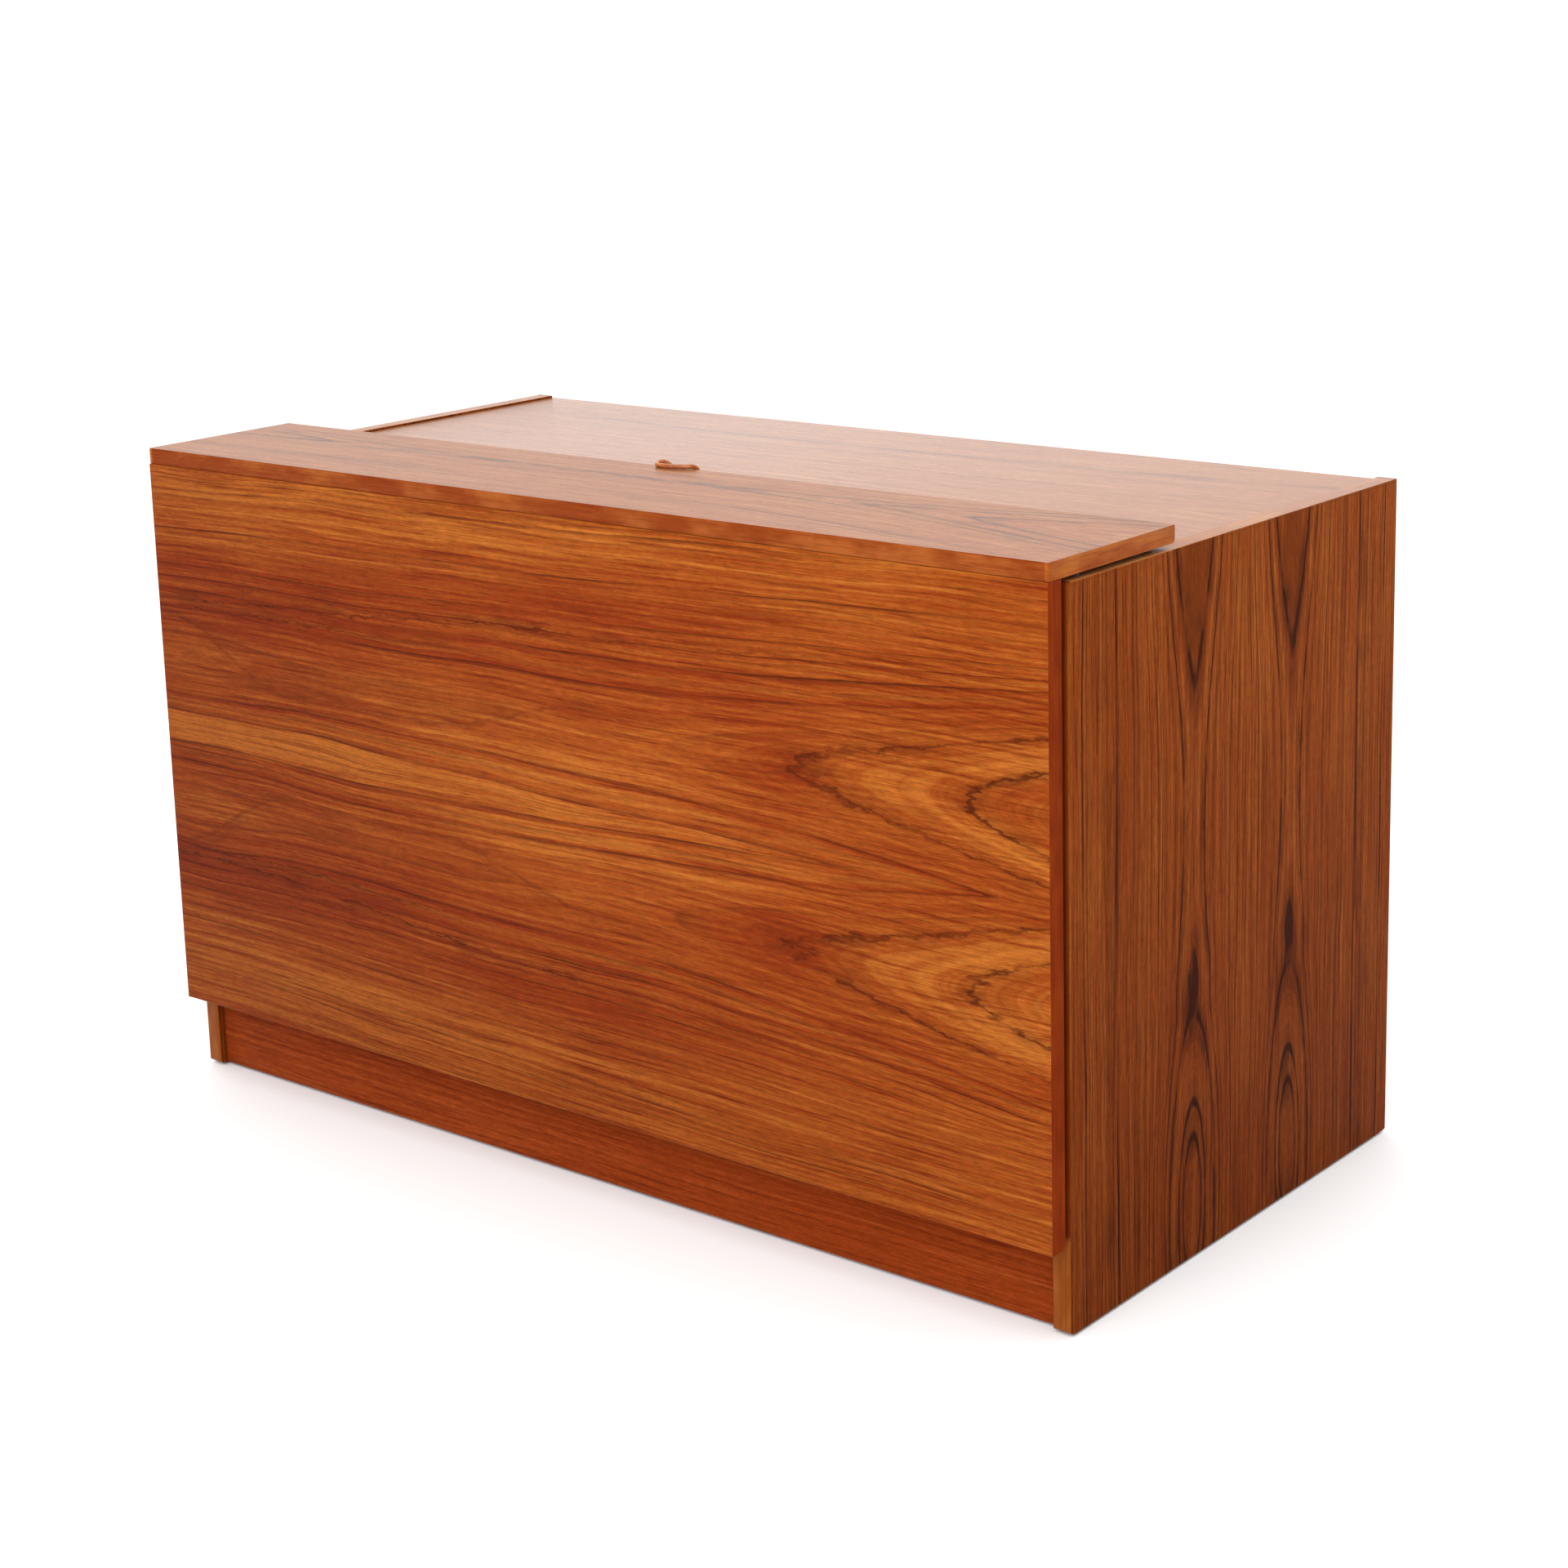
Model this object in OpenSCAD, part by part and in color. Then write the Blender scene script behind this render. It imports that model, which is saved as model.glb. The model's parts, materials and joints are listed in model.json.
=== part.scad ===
// Sewing table in teak veneer: a carcase, a swing-out front that carries a top flap,
// and a shelf that lifts the sewing machine. Millimetres, +Z up, origin on the floor
// under the middle of the whole table, front towards -Y.

/* [Overall] */
// Width over the two side panels
table_w = 1205; // [1100:5:1300]
// Depth from the face of the front to the rear edges
table_d = 630; // [600:5:700]
// Height of the side panels' top edges
side_top = 709.5; // [700:0.5:740]
// How far the front panel's top edge stands above the side panels
front_rise = 4.5; // [4:0.5:8]

/* [Boards] */
// Thickness of the side panels and the front panel
panel_t = 21; // [18:1:24]
// Thickness of the main top and the well boards
top_t = 20; // [16:1:22]
// Thickness of the flap
flap_t = 17; // [15:1:20]
// Thickness of the partitions, shelves and plinths
inner_t = 16; // [12:1:19]
// Thickness of the back panel
back_t = 6; // [4:1:10]
// Thickness of the solid edge lippings
lip_t = 6; // [4:1:8]
// Thickness of the end lippings on the front and the flap
end_lip_t = 4; // [3:1:6]

/* [Front and flap] */
// How much narrower the front panel and the flap are than the table
front_inset = 5; // [4:1:10]
// Height of the front panel's bottom edge
front_bottom = 90; // [70:1:110]
// Gap between the front panel and the side panels behind it
front_gap = 5; // [5:0.5:8]
// Depth from the face of the front to the flap's rear edge
flap_rear = 206; // [190:1:230]
// How far the flap's front edge is set back from the face
flap_setback = 1.5; // [1:0.5:3]
// Gap under the flap where it lies on the front panel
flap_joint_gap = 0.4; // [0.3:0.1:0.8]

/* [Inside] */
// Height of the bottom panel's upper face
floor_top = 90; // [80:1:120]
// Recess of the kick board behind the side panels' front edges
kick_recess = 9; // [6:1:20]
// Clear width between the partitions
knee_w = 540; // [520:5:600]
// Height of the machine shelf's upper face when it is down
machine_shelf_z = 400; // [380:5:430]
// Height of the side shelves' upper faces
side_shelf_z = 396; // [360:1:420]

/* [Fittings] */
// Radius of the piano hinge's knuckles
knuckle_r = 2.2; // [2:0.05:2.3]
// Length of one knuckle with its gap
knuckle_pitch = 40; // [30:1:40]
// Diameter of the leather pull cord
cord_d = 5.2; // [4:0.2:6]
// Height of the floor glides
glide_h = 3; // [2:1:4]

/* [Hidden] */
$fn = 48;

half_w = table_w / 2;
inner_x = half_w - panel_t;
front_y = -table_d / 2;
rear_y = table_d / 2;
front_back_y = front_y + panel_t;
side_front_y = front_back_y + front_gap;
front_w = table_w - front_inset;
front_x = front_w / 2;
front_top = side_top + front_rise;

flap_bottom = front_top + flap_joint_gap;
flap_top = flap_bottom + flap_t;
flap_front_y = front_y + flap_setback;
flap_rear_y = front_y + flap_rear;

top_step = 2.5;
top_rear_gap = 2;
main_top_z = side_top - top_step;
main_top_low = main_top_z - top_t;
main_top_front_y = flap_rear_y + top_rear_gap;
top_lip_t = 3;
back_recess = 10;
back_y = rear_y - back_recess - back_t;
floor_low = floor_top - inner_t;
kick_y = side_front_y + kick_recess;
kick_low = glide_h + 1;

side_front_r = 3;
side_rear_r = 2;
foot_r = lip_t - 0.5;
crest_r = 2.5;
front_top_r = 2;
grip_r = 7;
front_lip_h = grip_r + 1;
flap_edge_r = 4;

knee_x = knee_w / 2;
partition_x = knee_x + inner_t;
partition_front_y = side_front_y + 4;
shelf_front_y = side_front_y + 68;
shelf_rear_y = back_y - 4;
shelf_play = 1;
shelf_pin_inset = 50;
shelf_pin_r = 2.5;
shelf_pin_l = 18;

back_screw_step = 130;
back_screw_z = [200, 350, 500, 650];
cleat = 20;
cleat_screw_y = [-230, -150, -40, 100, 240];

hinge_x = -front_x;
hinge_y = front_back_y + front_gap / 2;
hinge_low = front_bottom + 10;
hinge_knuckles = 15;
hinge_len = hinge_knuckles * knuckle_pitch;
pin_r = 1.1;
pin_clearance = 0.05;
knuckle_gap = 0.6;
leaf_t = 0.9;
leaf_x = 2.6;
leaf_reach = 15;
web_x = 3;
web_near = 1.15;
web_far = front_gap / 2 - 0.4;
hinge_screw_step = 80;
hinge_screw_x = hinge_x + 10;

rail_w = 40;
rail_depth = 12;
rail_wall = 2;
rail_mouth = 20;
rail_y = side_front_y + 90;
rail_low = machine_shelf_z - 70;
rail_high = main_top_low;
slide_gap = 0.5;
shelf_half = knee_x - 20;
shelf_y0 = side_front_y + 4;
shelf_y1 = main_top_front_y - 6;
arm_t = 4;
arm_h = 90;
arm_high = machine_shelf_z;
arm_margin = 6;
stop_gap = 0.4;
stop_h = 20;
stop_margin = 30;

barrel_r = 6;
barrel_y = front_y + panel_t / 2;
barrel_x = [for (place = [-3, -1, 1, 3]) place * front_w / 7.5];
lower_barrel_h = 20;
upper_barrel_h = 12;
link_w = 4;
link_depth = 9;

catch_low = 420;
catch_high = 460;
bumper_z = [130, 400, 680];
bumper_r = 4;
pad_r = 5;
touch_gap = 0.3;
glide_inset = 25;

rack_x = partition_x + 14;
rack_w = inner_x - partition_x - 55.5;
rack_z = 300;
rack_h = 220;
rack_t = 10;
peg_l = 44;
peg_r = 3;
peg_margin = 30;
tray_wall = 7;
tray_depth = 58;
tray_h = 60;

cord_hole_x = 12;
cord_hole_z = flap_bottom + 8.1;
cord_end_y = 1.2 - lip_t;
cord_steps = 4;
cord_sides = 10;

teak = "#b5652b";
teak_solid = "#c47a3a";
teak_dark = "#8f4a20";
pale_ply = "#d2b48c";

// A board given by its lowest and highest corners
module board(low, high) {
    translate(low) cube(high - low);
}

// The same board on both sides of the middle plane
module mirrored_board(low, high) {
    board(low, high);
    mirror([1, 0, 0]) board(low, high);
}

// A board's section with two corners on its -Y side rounded by r
module round_front_section(width, depth, r) {
    translate([0, r]) square([width, depth - r]);
    translate([r, 0]) square([width - 2 * r, depth]);
    for (x = [r, width - r]) translate([x, r]) circle(r);
}

// A pan-head screw with its head on z = 0 and its shank along -Z
module screw(shank_r, shank_l, head_r, head_h) {
    translate([0, 0, -shank_l]) cylinder(h = shank_l, r = shank_r);
    cylinder(h = head_h, r = head_r);
}

// ---- Carcase ----

module side_core(x0) {
    core_low = [x0, side_front_y + lip_t, glide_h];
    board(core_low, [x0 + panel_t, rear_y - lip_t, side_top - top_lip_t]);
}

module side_panel_left() {
    color(teak) side_core(-half_w);
}

module side_panel_right() {
    color(teak) side_core(inner_x);
}

// A side panel's outline seen from the right: its lower corners are rounded by foot_r,
// and its upper rear corner by crest_r
module side_outline() {
    square_top = side_top - crest_r;
    translate([side_front_y, glide_h + foot_r])
        square([table_d - panel_t - front_gap, square_top - glide_h - foot_r]);
    translate([side_front_y + foot_r, glide_h])
        square([table_d - panel_t - front_gap - 2 * foot_r, side_top - glide_h]);
    translate([side_front_y, square_top]) square([2 * foot_r, crest_r]);
    for (y = [side_front_y + foot_r, rear_y - foot_r])
        translate([y, glide_h + foot_r]) circle(foot_r);
    intersection() {
        translate([rear_y - crest_r, side_top - crest_r]) circle(crest_r);
        translate([rear_y - foot_r - crest_r, side_top - 2 * crest_r])
            square([foot_r + crest_r, 2 * crest_r]);
    }
    translate([rear_y - foot_r, square_top]) square([foot_r - crest_r, crest_r]);
}

// The part of a side panel's outline between two depths, as thick as the panel
module side_slice(x0, y0, y1) {
    intersection() {
        translate([x0 - 1, 0, 0])
            rotate([90, 0, 90]) linear_extrude(panel_t + 2) side_outline();
        board([x0 - 2, y0, 0], [x0 + panel_t + 2, y1, side_top + 1]);
    }
}

module side_front_lipping(x0) {
    intersection() {
        side_slice(x0, side_front_y - 1, side_front_y + lip_t);
        translate([x0, side_front_y, glide_h - 1])
            linear_extrude(side_top - glide_h + 2)
                round_front_section(panel_t, lip_t, side_front_r);
    }
}

module side_front_lipping_left() {
    color(teak_solid) side_front_lipping(-half_w);
}

module side_front_lipping_right() {
    color(teak_solid) side_front_lipping(inner_x);
}

module side_rear_lippings() {
    color(teak_solid)
        for (x0 = [-half_w, inner_x])
            intersection() {
                side_slice(x0, rear_y - lip_t, rear_y + 1);
                translate([x0, rear_y, glide_h - 1])
                    linear_extrude(side_top - glide_h + 2)
                        mirror([0, 1]) round_front_section(panel_t, lip_t, side_rear_r);
            }
}

module side_top_lippings() {
    color(teak_solid)
        mirrored_board([inner_x, side_front_y + lip_t, side_top - top_lip_t],
                       [half_w, rear_y - lip_t, side_top]);
}

module main_top() {
    color(teak)
        board([-inner_x, main_top_front_y + lip_t, main_top_low],
              [inner_x, rear_y - lip_t, main_top_z]);
}

module main_top_front_lipping() {
    color(teak_solid)
        board([-inner_x, main_top_front_y, main_top_low],
              [inner_x, main_top_front_y + lip_t, main_top_z]);
}

module main_top_rear_lipping() {
    color(teak_solid)
        board([-inner_x, rear_y - lip_t, main_top_low], [inner_x, rear_y, main_top_z]);
}

// The fixed boards on each side of the machine opening, level with the main top
module well_board() {
    board([knee_x + lip_t, side_front_y + lip_t, main_top_low],
          [inner_x, main_top_front_y, main_top_z]);
}

module well_board_left() {
    color(teak) mirror([1, 0, 0]) well_board();
}

module well_board_right() {
    color(teak) well_board();
}

module well_board_lippings() {
    color(teak_solid) {
        mirrored_board([knee_x, side_front_y, main_top_low],
                       [inner_x, side_front_y + lip_t, main_top_z]);
        mirrored_board([knee_x, side_front_y + lip_t, main_top_low],
                       [knee_x + lip_t, main_top_front_y, main_top_z]);
    }
}

module bottom_panel() {
    color(teak)
        board([-inner_x, kick_y + 2, floor_low], [inner_x, back_y, floor_top]);
}

module kick_board() {
    color(teak_dark)
        board([-inner_x, kick_y, kick_low], [inner_x, kick_y + inner_t, floor_low]);
}

module rear_plinth() {
    color(teak_dark)
        board([-inner_x, back_y - inner_t, kick_low], [inner_x, back_y, floor_low]);
}

module back_panel() {
    color(teak)
        board([-inner_x, back_y, floor_low], [inner_x, back_y + back_t, main_top_low]);
}

// Rows of screws along the bottom panel and both partitions
module back_screws() {
    middle_z = floor_low + inner_t / 2;
    color("#b9a36a") {
        for (x = [-4 * back_screw_step:back_screw_step:4 * back_screw_step])
            translate([x, back_y + back_t, middle_z])
                rotate([-90, 0, 0]) screw(1.6, 20, 3.6, 1.6);
        for (x = [-1, 1])
            for (z = back_screw_z)
                translate([x * (knee_x + inner_t / 2), back_y + back_t, z])
                    rotate([-90, 0, 0]) screw(1.6, 20, 3.6, 1.6);
    }
}

module partition() {
    board([knee_x, partition_front_y, floor_top], [partition_x, back_y, main_top_low]);
}

module partition_left() {
    color(teak) mirror([1, 0, 0]) partition();
}

module partition_right() {
    color(teak) partition();
}

module side_shelf() {
    board([partition_x + shelf_play, shelf_front_y, side_shelf_z - inner_t],
          [inner_x - shelf_play, shelf_rear_y, side_shelf_z]);
}

module side_shelf_left() {
    color(teak) mirror([1, 0, 0]) side_shelf();
}

module side_shelf_right() {
    color(teak) side_shelf();
}

// Four pegs under each side shelf, each half in a board and half under the shelf
module shelf_pins() {
    pin_z = side_shelf_z - inner_t - shelf_pin_r;
    color("#b08d57")
        for (side = [-1, 1])
            for (x = [partition_x, inner_x])
                for (y = [shelf_front_y + shelf_pin_inset, shelf_rear_y - shelf_pin_inset])
                    translate([side * x - shelf_pin_l / 2, y, pin_z])
                        rotate([0, 90, 0]) cylinder(h = shelf_pin_l, r = shelf_pin_r);
}

module top_cleats() {
    color(pale_ply)
        mirrored_board([inner_x - cleat, side_front_y + 20, main_top_low - cleat],
                       [inner_x, back_y - 10, main_top_low]);
}

module cleat_screws() {
    color("#b9a36a")
        for (side = [-1, 1])
            for (y = cleat_screw_y)
                translate([side * (inner_x - cleat / 2), y, main_top_low - cleat])
                    mirror([0, 0, 1]) screw(1.8, 30, 3.8, 1.6);
}

// A channel on the partition's inner face, open towards the middle of the table
module lift_rail() {
    mouth_x = knee_x - rail_depth;
    color("silver")
        difference() {
            board([mouth_x, rail_y, rail_low], [knee_x, rail_y + rail_w, rail_high]);
            board([mouth_x + rail_wall, rail_y + rail_wall, rail_low - 1],
                  [knee_x - rail_wall, rail_y + rail_w - rail_wall, rail_high + 1]);
            board([mouth_x - 1, rail_y + (rail_w - rail_mouth) / 2, rail_low - 1],
                  [mouth_x + rail_wall + 1, rail_y + (rail_w + rail_mouth) / 2, rail_high + 1]);
        }
}

module lift_rail_left() {
    mirror([1, 0, 0]) lift_rail();
}

module lift_rail_right() {
    lift_rail();
}

// The blocks on the partitions that the machine shelf comes down on
module lift_stops() {
    stop_top = machine_shelf_z - arm_h - stop_gap;
    color(pale_ply)
        mirrored_board([shelf_half + 1, rail_y - stop_margin, stop_top - stop_h],
                       [knee_x, rail_y + rail_w + stop_margin, stop_top]);
}

module door_catch() {
    foot_t = 2;
    color("#3c3c3c") {
        board([inner_x - 16, side_front_y - 2.2, catch_low],
              [inner_x - foot_t, side_front_y + 24, catch_high]);
        board([inner_x - foot_t, side_front_y + 2, catch_low + 4],
              [inner_x, side_front_y + 20, catch_high - 4]);
    }
}

module door_bumpers() {
    color("#4a3a30")
        for (z = bumper_z)
            translate([half_w - panel_t / 2, side_front_y, z])
                rotate([90, 0, 0]) cylinder(h = front_gap - 0.4, r = bumper_r);
}

module flap_pads() {
    pad_h = flap_bottom - side_top - touch_gap;
    pad_x = half_w - panel_t / 2 - 3;
    color("#5b5048")
        for (side = [-1, 1])
            for (y = [side_front_y + 30, flap_rear_y - 30])
                translate([side * pad_x, y, side_top]) cylinder(h = pad_h, r = pad_r);
}

module floor_glides() {
    color("#2f2f2f")
        for (x = [-1, 1])
            for (y = [side_front_y + glide_inset, rear_y - glide_inset])
                translate([x * (half_w - panel_t / 2), y, 0]) {
                    cylinder(h = glide_h, r1 = 7, r2 = 8.5);
                    cylinder(h = glide_h + 10, r = 1.5);
                }
}

// ---- Piano hinge ----

// One leaf of the hinge with its own knuckles. first is 0 or 1, side is the leaf's
// direction away from the axis, and bore_r is the hole through its knuckles.
module hinge_leaf(first, side, bore_r) {
    leaf_y = side > 0 ? front_gap / 2 - leaf_t : -front_gap / 2;
    web_y = side > 0 ? web_near : -web_far;
    knuckle_l = knuckle_pitch - knuckle_gap;
    translate([hinge_x, hinge_y, hinge_low])
        difference() {
            union() {
                translate([leaf_x, leaf_y, 0]) cube([leaf_reach, leaf_t, hinge_len]);
                for (i = [first:2:hinge_knuckles - 1])
                    translate([0, 0, i * knuckle_pitch + knuckle_gap / 2]) {
                        cylinder(h = knuckle_l, r = knuckle_r);
                        translate([0, web_y, 0]) cube([web_x, web_far - web_near, knuckle_l]);
                    }
            }
            translate([0, 0, -1]) cylinder(h = hinge_len + 2, r = bore_r);
        }
}

module hinge_leaf_side() {
    color("#c9a14e") hinge_leaf(0, 1, pin_r);
}

module hinge_pin() {
    color("#9d9d9d")
        translate([hinge_x, hinge_y, hinge_low + 0.5]) cylinder(h = hinge_len - 1, r = pin_r);
}

module hinge_screws(y, direction) {
    for (z = [hinge_low + 20:hinge_screw_step:hinge_low + hinge_len - 10])
        translate([hinge_screw_x, y, z])
            rotate([direction * 90, 0, 0]) screw(1.2, 12, 2.4, 0.8);
}

module hinge_screws_side() {
    color("#c9a14e") hinge_screws(side_front_y - leaf_t, 1);
}

module hinge_leaf_front() {
    color("#c9a14e") hinge_leaf(1, -1, pin_r + pin_clearance);
}

module hinge_screws_front() {
    color("#c9a14e") hinge_screws(front_back_y + leaf_t, -1);
}

// ---- Swing-out front ----

module barrel_bores(z, h) {
    for (x = barrel_x) translate([x, barrel_y, z]) cylinder(h = h, r = barrel_r);
}

module front_panel() {
    color(teak)
        difference() {
            board([-front_x + end_lip_t, front_y, front_bottom + front_lip_h],
                  [front_x - end_lip_t, front_back_y, front_top - lip_t]);
            barrel_bores(front_top - lower_barrel_h, lower_barrel_h + 1);
        }
}

// The lower end of a section of the front, rounded at the back where fingers take hold
module grip_section(height) {
    square([panel_t - grip_r, height]);
    translate([0, grip_r]) square([panel_t, height - grip_r]);
    intersection() {
        translate([panel_t - grip_r, grip_r]) circle(grip_r);
        square([panel_t, height]);
    }
}

module front_end_lipping(x0) {
    translate([x0, front_y, front_bottom])
        rotate([90, 0, 90])
            linear_extrude(end_lip_t) grip_section(front_top - front_bottom);
}

module front_lipping_left() {
    color(teak_solid) front_end_lipping(-front_x);
}

module front_lipping_right() {
    color(teak_solid) front_end_lipping(front_x - end_lip_t);
}

module front_lipping_top() {
    color(teak_solid)
        difference() {
            translate([-front_x + end_lip_t, front_y, front_top - lip_t])
                rotate([90, 0, 90])
                    linear_extrude(front_w - 2 * end_lip_t) {
                        translate([front_top_r, 0]) square([panel_t - front_top_r, lip_t]);
                        square([panel_t, lip_t - front_top_r]);
                        translate([front_top_r, lip_t - front_top_r]) circle(front_top_r);
                    }
            barrel_bores(front_top - lower_barrel_h, lower_barrel_h + 1);
        }
}

module front_lipping_bottom() {
    color(teak_solid)
        translate([-front_x + end_lip_t, front_y, front_bottom])
            rotate([90, 0, 90])
                linear_extrude(front_w - 2 * end_lip_t)
                    grip_section(front_lip_h);
}

module catch_strike() {
    color("silver")
        board([inner_x - 15, front_back_y, catch_low + 4],
              [inner_x - 3, front_back_y + 1.8, catch_high - 4]);
}

module thread_rack() {
    color(teak)
        board([rack_x, front_back_y, rack_z],
              [rack_x + rack_w, front_back_y + rack_t, rack_z + rack_h]);
}

module thread_pegs() {
    column_step = (rack_w - 2 * peg_margin) / 3;
    row_step = (rack_h - 80) / 2;
    tip = 3;
    color(teak_solid)
        for (column = [0:3])
            for (row = [0:2])
                translate([rack_x + peg_margin + column * column_step, front_back_y + rack_t,
                           rack_z + 40 + row * row_step])
                    rotate([-90, 0, 0]) {
                        cylinder(h = peg_l - tip, r = peg_r);
                        translate([0, 0, peg_l - tip]) cylinder(h = tip, r1 = peg_r, r2 = 1.6);
                    }
}

// A narrow open tray for scissors and bobbins
module notions_tray() {
    low = [-rack_x - rack_w, front_back_y, rack_z];
    high = [-rack_x, front_back_y + tray_depth, rack_z + tray_h];
    color(teak)
        difference() {
            board(low, high);
            board(low + [tray_wall, tray_wall, tray_wall], high + [-tray_wall, -tray_wall, 1]);
        }
}

// The barrels of the concealed hinges, each slotted for its link from the height slot_z
module hinge_barrels(z, h, slot_z) {
    for (x = barrel_x)
        translate([x, barrel_y, z])
            difference() {
                cylinder(h = h, r = barrel_r);
                translate([-link_w / 2, -barrel_r - 1, slot_z])
                    cube([link_w, barrel_r + 4, link_depth + 1]);
            }
}

module flap_hinge_lower() {
    color("#c9a14e")
        hinge_barrels(front_top - lower_barrel_h, lower_barrel_h, lower_barrel_h - link_depth);
}

// ---- Top flap ----

module flap_board() {
    color(teak)
        difference() {
            board([-front_x + end_lip_t, flap_front_y + lip_t, flap_bottom],
                  [front_x - end_lip_t, flap_rear_y - lip_t, flap_top]);
            barrel_bores(flap_bottom - 1, upper_barrel_h + 1);
        }
}

module flap_lipping_front() {
    color(teak_solid)
        difference() {
            board([-front_x + end_lip_t, flap_front_y, flap_bottom],
                  [front_x - end_lip_t, flap_front_y + lip_t, flap_top]);
            barrel_bores(flap_bottom - 1, upper_barrel_h + 1);
        }
}

// A strip's end section along the flap's depth, rounded at the bottom of the rear edge
module flap_rear_section(y0, r) {
    width = flap_rear_y - y0;
    square([width - r, flap_t]);
    translate([0, r]) square([width, flap_t - r]);
    translate([width - r, r]) circle(r);
}

module flap_lipping_rear() {
    spare = 3;
    color(teak_solid)
        difference() {
            translate([-front_x + end_lip_t, flap_rear_y - lip_t - spare, flap_bottom])
                rotate([90, 0, 90])
                    linear_extrude(front_w - 2 * end_lip_t)
                        difference() {
                            flap_rear_section(flap_rear_y - lip_t - spare, flap_edge_r);
                            translate([-1, -1]) square([spare + 1, flap_t + 2]);
                        }
            for (x = [-cord_hole_x, cord_hole_x])
                translate([x, flap_rear_y - lip_t + 1, cord_hole_z])
                    rotate([-90, 0, 0]) cylinder(h = lip_t, r = cord_d / 2);
        }
}

module flap_end_lipping(x0) {
    translate([x0, flap_front_y, flap_bottom])
        rotate([90, 0, 90])
            linear_extrude(end_lip_t) flap_rear_section(flap_front_y, flap_edge_r);
}

module flap_lipping_left() {
    color(teak_solid) flap_end_lipping(-front_x);
}

module flap_lipping_right() {
    color(teak_solid) flap_end_lipping(front_x - end_lip_t);
}

module flap_hinge_upper() {
    color("#c9a14e") hinge_barrels(flap_bottom, upper_barrel_h, -1);
}

// The leather pull: a cord whose two ends are glued into the flap's rear lipping.
// It rises behind the edge, curls to the left and lies across the flap's top.
lie_z = flap_top + cord_d / 2;
cord_points = [
    [-cord_hole_x, cord_end_y, cord_hole_z], [-cord_hole_x, 0, cord_hole_z],
    [-12.5, 5.5, flap_top - 6.5], [-15, 6, flap_top - 0.5],
    [-20, 2, lie_z + 1.2], [-23.5, -4.5, lie_z + 0.9], [-19, -10.5, lie_z + 0.2],
    [-8, -11.5, lie_z + 0.1], [4, -9.5, lie_z + 0.1], [14, -5.5, lie_z + 0.1],
    [20.5, 0, lie_z], [22, 5, flap_top - 1], [18, 5.8, flap_top - 6],
    [cord_hole_x + 0.5, 3.5, cord_hole_z + 0.3], [cord_hole_x, 0, cord_hole_z],
    [cord_hole_x, cord_end_y, cord_hole_z]
];

// Catmull-Rom point between p[i] and p[i + 1]
function bend(p, i, t) =
    let (a = p[max(i - 1, 0)], b = p[i], c = p[i + 1], d = p[min(i + 2, len(p) - 1)])
    0.5 * (2 * b + (c - a) * t + (2 * a - 5 * b + 4 * c - d) * t * t
        + (3 * b - a - 3 * c + d) * t * t * t);

function curve(p, steps) = [
    for (i = [0:len(p) - 2]) for (k = [0:steps - 1]) bend(p, i, k / steps), p[len(p) - 1]
];

function unit(v) = v / norm(v);

// A ring of points round a place on the curve
function ring(at, along, r, sides) =
    let (side = unit(cross(along, [0.13, 0.21, 0.97])), up = cross(side, along))
    [for (k = [0:sides - 1]) at + r * (cos(360 * k / sides) * side + sin(360 * k / sides) * up)];

module tube_along(path, r, sides) {
    n = len(path);
    rings = [for (i = [0:n - 1])
        ring(path[i], unit(path[min(i + 1, n - 1)] - path[max(i - 1, 0)]), r, sides)];
    points = [for (one = rings) for (p = one) p];
    walls = [for (i = [0:n - 2]) for (k = [0:sides - 1])
        [i * sides + k, (i + 1) * sides + k, (i + 1) * sides + (k + 1) % sides,
         i * sides + (k + 1) % sides]];
    first_cap = [for (k = [0:sides - 1]) k];
    last_cap = [for (k = [sides - 1:-1:0]) (n - 1) * sides + k];
    polyhedron(points, concat(walls, [first_cap, last_cap]), convexity = 6);
}

module leather_loop() {
    color("#a4622e")
        translate([0, flap_rear_y, 0])
            tube_along(curve(cord_points, cord_steps), cord_d / 2, cord_sides);
}

// ---- Machine lift ----

module machine_shelf() {
    color(teak)
        board([-shelf_half, shelf_y0 + lip_t, machine_shelf_z - inner_t],
              [shelf_half, shelf_y1, machine_shelf_z]);
}

module machine_shelf_lipping() {
    color(teak_solid)
        board([-shelf_half, shelf_y0, machine_shelf_z - inner_t],
              [shelf_half, shelf_y0 + lip_t, machine_shelf_z]);
}

// A steel arm on the shelf's end, with a slider that runs in the rail
module lift_arm() {
    mouth_x = knee_x - rail_depth;
    neck_w = rail_mouth - 2 * slide_gap;
    foot_w = rail_w - 2 * rail_wall - 2 * slide_gap;
    neck_y = rail_y + (rail_w - neck_w) / 2;
    foot_y = rail_y + (rail_w - foot_w) / 2;
    low_z = arm_high - arm_h;
    color("silver") {
        board([shelf_half, shelf_y0 + arm_margin, machine_shelf_z - inner_t - 8],
              [shelf_half + arm_t, shelf_y1 - 4, arm_high]);
        board([shelf_half, rail_y - arm_margin, low_z],
              [shelf_half + arm_t, rail_y + rail_w + arm_margin, arm_high]);
        board([shelf_half + arm_t, neck_y, low_z],
              [mouth_x + rail_wall + slide_gap, neck_y + neck_w, arm_high]);
        board([mouth_x + rail_wall + slide_gap, foot_y, low_z],
              [knee_x - rail_wall - slide_gap, foot_y + foot_w, arm_high]);
    }
}

module lift_arm_left() {
    mirror([1, 0, 0]) lift_arm();
}

module lift_arm_right() {
    lift_arm();
}

module lift_arm_screws() {
    color("#b9a36a")
        for (side = [-1, 1])
            for (y = [shelf_y0 + 25, shelf_y1 - 20])
                translate([side * (shelf_half + arm_t), y, machine_shelf_z - inner_t / 2])
                    rotate([0, side * 90, 0]) screw(1.8, 22, 3.6, 1.4);
}

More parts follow.
